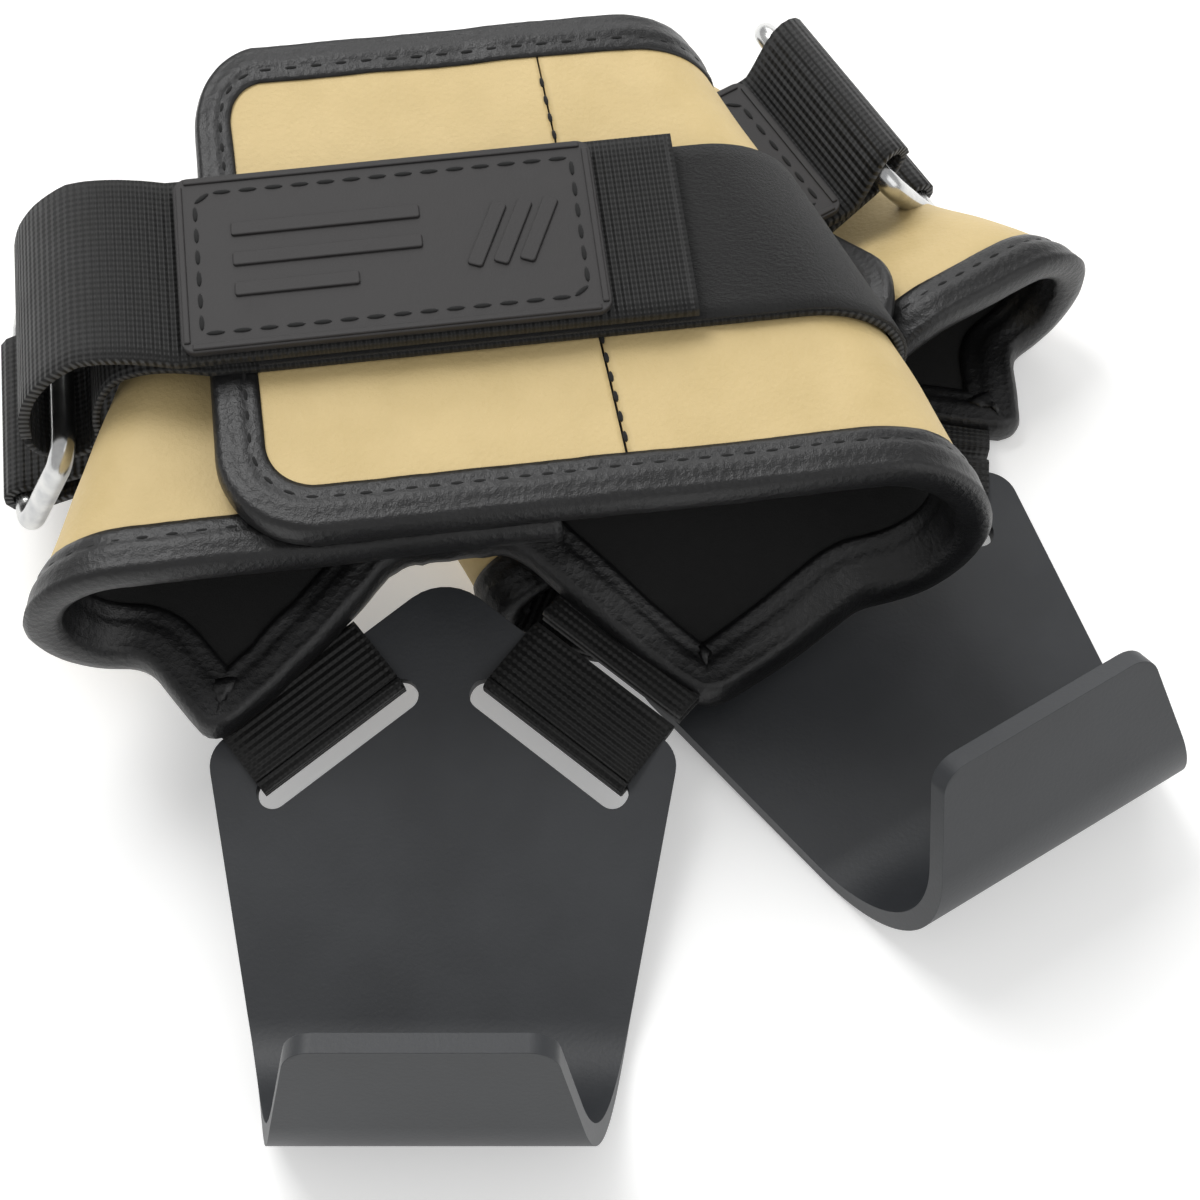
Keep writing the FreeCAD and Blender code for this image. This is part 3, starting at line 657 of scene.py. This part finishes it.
def strap(grip):
    side = grip.side
    body = side + "_cuff"
    tail_body = "left_tail" if side == "left" else body
    base, rise, tail_z = strap_routes(grip)
    offset = WALL_HALF + 0.4

    def over_cuff(y, n):
        right = grip.centres(y)[1]
        side_radius = grip.radius(1, y)
        reach = side_radius + n
        arc = [math.radians(STRAP_START + (90 - STRAP_START) * i / 16) for i in range(17)]
        start = [(right + reach * math.cos(a), grip.palm(y) + side_radius + reach * math.sin(a)) for a in arc]
        return start + [(right + (FLAP_END - right) * i / 12, grip.flap + n) for i in range(1, 12)]

    band(grip, side + "_strap_webbing", lambda y: over_cuff(y, offset + 0.5) + base, STRAP_WIDTH, 1.0,
         WEBBING, body, "webbing", [side + "_strap_base"], FLAP_END)
    band(grip, side + "_loop_pile", lambda y: over_cuff(y, offset + 1.3), STRAP_WIDTH - 0.6, 0.6, PILE, body,
         "pile", [side + "_strap_pile"], FLAP_END, bow=0.15)
    tail = rise + [(TAIL_END * i / 10 + LABEL_X[0] * (1 - i / 10), tail_z) for i in range(1, 11)]
    band(grip, side + "_tail_webbing", lambda y: tail, STRAP_WIDTH, STRAP - 0.1, WEBBING, tail_body,
         "webbing", [side + "_strap_tail"], LABEL_X[0] - 1)
    tape_z = tail_z - STRAP / 2 - 0.45
    tape = [(-31.0, tape_z), (TAIL_END - 1, tape_z)]
    band(grip, side + "_tail_tape", lambda y: tape, STRAP_WIDTH - 2.5, 0.8, TAPE, tail_body, "closure_tape",
         [side + "_tail_hook_tape"], -60)
    patch_z = grip.under + WALL_HALF
    for name, lift in (("closure_loop_patch", 0.3), ("closure_hook_patch", 0.9)):
        route = [(-20.0, patch_z + lift), (UNDERLAP_END - 0.5, patch_z + lift)]
        band(grip, side + "_" + name + "_cloth", lambda y, route=route: route, 60, 0.5, TAPE, body,
             "closure_tape", [side + "_" + name], -60)
    ring_tab(grip)
    label(grip, tail_z + STRAP / 2, tail_body)


def ring_tab(grip):
    """Webbing doubled round the ring's low bar and sewn to the cuff's side."""
    x = grip.bar[0] - RING_BARS * math.cos(grip.lean)
    z = grip.bar[1] - RING_BARS * math.sin(grip.lean)
    radius = 1.8 + GAP + STRAP / 2
    root = -36.0
    around = [math.radians(a) for a in range(-80, -281, -20)]
    turn = [(x + radius * math.cos(a), z + radius * math.sin(a)) for a in around]
    route = [(root, 1.2)] + turn + [(root, 2.8)]
    band(grip, grip.side + "_ring_tab_webbing", lambda y: route, STRAP_WIDTH - 3, STRAP - 0.3, WEBBING,
         grip.side + "_cuff", "webbing", [grip.side + "_ring_tab"], 0)


def label(grip, z, body):
    """A moulded rubber patch with a raised rim and plain raised bars, sewn on all round."""
    x0, x1 = LABEL_X
    half_x, half_y = (x1 - x0) / 2, LABEL_WIDTH / 2
    middle = Vector(((x0 + x1) / 2, STRAP_Y, z + 0.6))
    bm = bmesh.new()

    def block(size, place, round_by=0.3, turn=0.0):
        made = bmesh.ops.create_cube(bm, size=1.0, matrix=Matrix.Translation(place)
                                     @ Matrix.Rotation(turn, 4, "Z") @ Matrix.Diagonal((*size, 1.0)))
        edges = {e for v in made["verts"] for e in v.link_edges}
        upright = [e for e in edges if abs((e.verts[0].co - e.verts[1].co).z) > 0.9 * size[2]]
        if round_by:
            bmesh.ops.bevel(bm, geom=upright, offset=round_by, segments=5, profile=0.5, affect="EDGES",
                            material=-1)

    block((2 * half_x, 2 * half_y, 1.1), middle, 2.0)
    rim = 0.9
    for way in (-1, 1):
        block((2 * half_x - 3, rim, 0.5), middle + Vector((0, way * (half_y - 0.8), 0.6)), 0.2)
        block((rim, 2 * half_y - 3, 0.5), middle + Vector((way * (half_x - 0.8), 0, 0.6)), 0.2)
    for i, span in enumerate((26, 26, 17)):
        block((span, 2.2, 0.7), middle + Vector((-8.5 + (26 - span) * -0.5, 5.0 - 5.0 * i, 0.6)), 0.4)
    for way in (-1, 0, 1):
        block((2.2, 11, 0.7), middle + Vector((17 + way * 3.6, 0, 0.6)), 0.5, turn=math.radians(-24))
    for v in bm.verts:
        v.co = grip.in_cuff(*v.co)
    bmesh.ops.recalc_face_normals(bm, faces=bm.faces)
    piece = finish_mesh(bm, grip.side + "_label_rubber", smooth_faces=False)
    round_off = piece.modifiers.new("edges", "BEVEL")
    round_off.width = 0.18 * MM
    round_off.segments = 2
    round_off.limit_method = "ANGLE"
    done(piece, RUBBER, body, "label", grip.side + "_label_patch")
    inset = LABEL_INSET
    corners = [(-half_x + inset, -half_y + inset), (half_x - inset, -half_y + inset),
               (half_x - inset, half_y - inset), (-half_x + inset, half_y - inset)]
    corners.append(corners[0])
    total = length_of(corners)
    steps = round(total / LABEL_PITCH)
    places = []
    for i in range(steps + 1):
        x, y = sample(corners, min(0.9999, i / steps))
        places.append(grip.in_cuff(middle.x + x, middle.y + y, middle.z + 0.6))
    stitches(grip, grip.side + "_label_thread", places, GREY_THREAD, body, "label", (1.3, 0.36, 0.22))


# ---------------------------------------------------------------- hook

def nose_rise():
    return NOSE_RADIUS * (1 / math.cos(ROOF) - 1)


def steel_length():
    return BEND_START + BEND_ANGLE * (BEND_INSIDE + STEEL / 2) + LIP


def half_width(d):
    """Half the hook's width at a distance d from its nose along the steel."""
    shoulder = SHOULDER_HALF * math.tan(ROOF) - nose_rise()
    if d < shoulder:
        return (d + nose_rise()) / math.tan(ROOF)
    return SHOULDER_HALF + (LIP_HALF - SHOULDER_HALF) * (d - shoulder) / (steel_length() - shoulder)


def rounded_outline(corners, radii, steps=7):
    """Corners of a flat outline, each rounded by its radius."""
    points = []
    for i, radius in enumerate(radii):
        corner = Vector(corners[i])
        back = (Vector(corners[i - 1]) - corner).normalized()
        ahead = (Vector(corners[(i + 1) % len(corners)]) - corner).normalized()
        half = back.angle(ahead) / 2
        centre = corner + (back + ahead).normalized() * (radius / math.sin(half))
        start = corner + back * (radius / math.tan(half)) - centre
        end = corner + ahead * (radius / math.tan(half)) - centre
        for j in range(steps + 1):
            share = j / steps
            way = (start * math.cos(share * math.pi / 2) + end * math.sin(share * math.pi / 2)).normalized()
            points.append(centre + way * radius)
    return points


def slot_matrix(side):
    place = Matrix.Translation((side * SLOT_MIDDLE[0], -SLOT_MIDDLE[1], 0))
    return place @ Matrix.Rotation(-side * ROOF, 4, "Z")


def hook_plate(grip):
    """Sheet steel cut to outline with two slots, then curled at one end."""
    end = steel_length()
    shoulder = SHOULDER_HALF * math.tan(ROOF) - nose_rise()
    corners = [(0, nose_rise()), (SHOULDER_HALF, -shoulder), (LIP_HALF, -end), (-LIP_HALF, -end),
               (-SHOULDER_HALF, -shoulder)]
    bm = bmesh.new()
    loops = [rounded_outline(corners, [NOSE_RADIUS, 5.0, 4.0, 4.0, 5.0])]
    for side in (-1, 1):
        half, wide = SLOT_LENGTH / 2, SLOT_WIDTH / 2
        slot_corners = [(-half, -wide), (half, -wide), (half, wide), (-half, wide)]
        flat = rounded_outline(slot_corners, [wide * 0.95] * 4)
        loops.append([(slot_matrix(side) @ p.to_3d()).to_2d() for p in flat])
    edges = []
    for loop in loops:
        verts = [bm.verts.new((p.x, p.y, 0)) for p in loop]
        edges += [bm.edges.new((a, b)) for a, b in zip(verts, verts[1:] + verts[:1])]
    bmesh.ops.triangle_fill(bm, use_beauty=True, use_dissolve=False, edges=edges)
    bend = BEND_ANGLE * (BEND_INSIDE + STEEL / 2)
    cuts = [BEND_START - 0.01] + [BEND_START + bend * i / 36 for i in range(1, 37)]
    for d in cuts:
        bmesh.ops.bisect_plane(bm, geom=bm.verts[:] + bm.edges[:] + bm.faces[:], dist=1e-5,
                               plane_co=(0, -d, 0), plane_no=(0, 1, 0))
    radius = BEND_INSIDE + STEEL / 2
    for v in bm.verts:
        d = -v.co.y
        angle = min(BEND_ANGLE, max(0.0, (d - BEND_START) / radius))
        past = max(0.0, d - BEND_START - bend)
        y = -BEND_START - radius * math.sin(angle) - past * math.cos(angle) if d > BEND_START else v.co.y
        bent = BEND_INSIDE - radius * math.cos(angle) + past * math.sin(angle)
        z = bent if d > BEND_START else -STEEL / 2
        v.co = grip.lie @ grip.hook() @ Vector((v.co.x, y, z))
    bmesh.ops.recalc_face_normals(bm, faces=bm.faces)
    piece = finish_mesh(bm, grip.side + "_hook_steel")
    thicken(piece, STEEL)
    edge = piece.modifiers.new("edges", "BEVEL")
    edge.width = 0.45 * MM
    edge.segments = 3
    edge.limit_method = "ANGLE"
    edge.angle_limit = math.radians(50)
    even = piece.modifiers.new("even", "WEIGHTED_NORMAL")
    even.keep_sharp = False
    done(piece, COAT, grip.side + "_hook", "hook_coating", grip.side + "_hook_plate")


def roof_distance():
    return (SLOT_MIDDLE[1] + nose_rise() - SLOT_MIDDLE[0] * math.tan(ROOF)) * math.cos(ROOF)


def free_band(name, route, across, thickness, width):
    """A tape along a route of row-frame points, its width along a fixed direction."""
    total = sum((b - a).length for a, b in zip(route, route[1:]))

    def place(a, b):
        spot = Vector(sample([tuple(p) for p in route], a))
        return spot + across * (b - 0.5) * width * MM

    piece = sheet_piece(name, max(24, int(total / (0.8 * MM))), 10, place,
                        lambda a, b: (a * total, b * width * MM))
    thicken(piece, thickness)
    return piece


def hook_webbing(grip):
    """Webbing round each slanted bar, and its doubled run to the palm side."""
    roof = roof_distance()
    side = grip.side
    world = grip.lie
    for way in (-1, 1):
        label_side = "outer" if way < 0 else "inner"
        local = grip.hook() @ slot_matrix(way)
        low, high = SLOT_WIDTH / 2 - 0.9, roof + 0.9
        over, under = 0.9, -STEEL - 0.9
        tip = high + 1.0, -STEEL / 2
        loop = rounded_outline([(low, over), (low, under), (tip[0], tip[1] - 0.8), (tip[0], tip[1] + 0.8)],
                               [0.8, 0.8, 0.5, 0.5], 4)
        loop.append(loop[0])
        route = [world @ local @ Vector((0, p.x, p.y)) for p in loop]
        across = (world.to_3x3() @ local.to_3x3() @ Vector((1, 0, 0))).normalized()
        piece = free_band("%s_%s_bar_webbing" % (side, label_side), route, across, 1.5, HOOK_WEB_WIDTH)
        done(piece, WEBBING, side + "_hook", "webbing", *([side + "_hook_webbing"] if way < 0 else []))
        start = local @ Vector((0, roof + HOOK_WEB + WEB_STUB + 0.3, -STEEL / 2))
        flat_across = local.to_3x3() @ Vector((1, 0, 0))
        inward_way = Vector((0, 0, 1)).cross(flat_across).normalized()
        rim = start + inward_way * grip.web_lead
        rim.z = grip.web_z
        steps = []
        for i in range(15):
            t = i / 14
            spot = start.lerp(rim, t)
            spot.z = start.z + (rim.z - start.z) * smooth(t)
            steps.append(spot)
        steps.append(rim + inward_way * 11.5)
        for layer in (-0.8, 0.8):
            route = [world @ (p + Vector((0, 0, layer))) for p in steps]
            across = (world.to_3x3() @ flat_across).normalized()
            name = "%s_%s_anchor_%s" % (side, label_side, "top" if layer > 0 else "low")
            piece = free_band(name, route, across, 1.3, HOOK_WEB_WIDTH)
            replaced = [side + "_webbing_anchors"] if way < 0 and layer < 0 else []
            done(piece, WEBBING, side + "_cuff", "webbing", *replaced)


# ---------------------------------------------------------------- build

for grip in GRIPS:
    cuff_pad(grip)
    edge_binding(grip)
    strap(grip)
    hook_plate(grip)
    hook_webbing(grip)
    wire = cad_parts[grip.side + "_ring"]
    wire.data.materials.clear()
    wire.data.materials.append(ZINC)

# ---------------------------------------------------------------- stage

def studio():
    floor_mesh = bmesh.new()
    bmesh.ops.create_grid(floor_mesh, x_segments=1, y_segments=1, size=3.0)
    floor = finish_mesh(floor_mesh, "floor")
    floor.location.z = -0.0002
    paper = bpy.data.materials.new("paper_sweep")
    paper.use_nodes = True
    shader = paper.node_tree.nodes["Principled BSDF"]
    shader.inputs["Base Color"].default_value = linear("F2F2F1")
    shader.inputs["Roughness"].default_value = 0.9
    shader.inputs["Emission Color"].default_value = linear("FFFFFF")
    shader.inputs["Emission Strength"].default_value = 0.3
    floor.data.materials.append(paper)
    world = bpy.data.worlds.new("room")
    bpy.context.scene.world = world
    world.use_nodes = True
    world.node_tree.nodes["Background"].inputs["Color"].default_value = linear("FFFFFF")
    world.node_tree.nodes["Background"].inputs["Strength"].default_value = 0.55
    lamps = (("key", (-0.35, 0.45, 0.9), 0.5, 5.5), ("fill", (0.7, -0.4, 0.6), 0.7, 1.6),
             ("back", (0.1, 0.9, 0.5), 0.6, 2.0))
    for name, place, size, power in lamps:
        lamp = bpy.data.lights.new(name, "AREA")
        lamp.size = size
        lamp.energy = power
        spot = bpy.data.objects.new(name, lamp)
        spot.location = place
        spot.rotation_euler = (-Vector(place)).to_track_quat("-Z", "Y").to_euler()
        bpy.context.collection.objects.link(spot)
    camera = bpy.data.cameras.new("camera")
    camera.sensor_width = 36.0
    camera.lens = 78.0
    eye = bpy.data.objects.new("camera", camera)
    stand = (Vector((0.0, -182.9, 349.8)) - MIDDLE) * MM
    target = -MIDDLE * MM
    eye.location = stand
    eye.rotation_euler = (target - stand).to_track_quat("-Z", "Y").to_euler()
    bpy.context.collection.objects.link(eye)
    bpy.context.scene.camera = eye
    bpy.context.scene.view_settings.view_transform = "Standard"


studio()
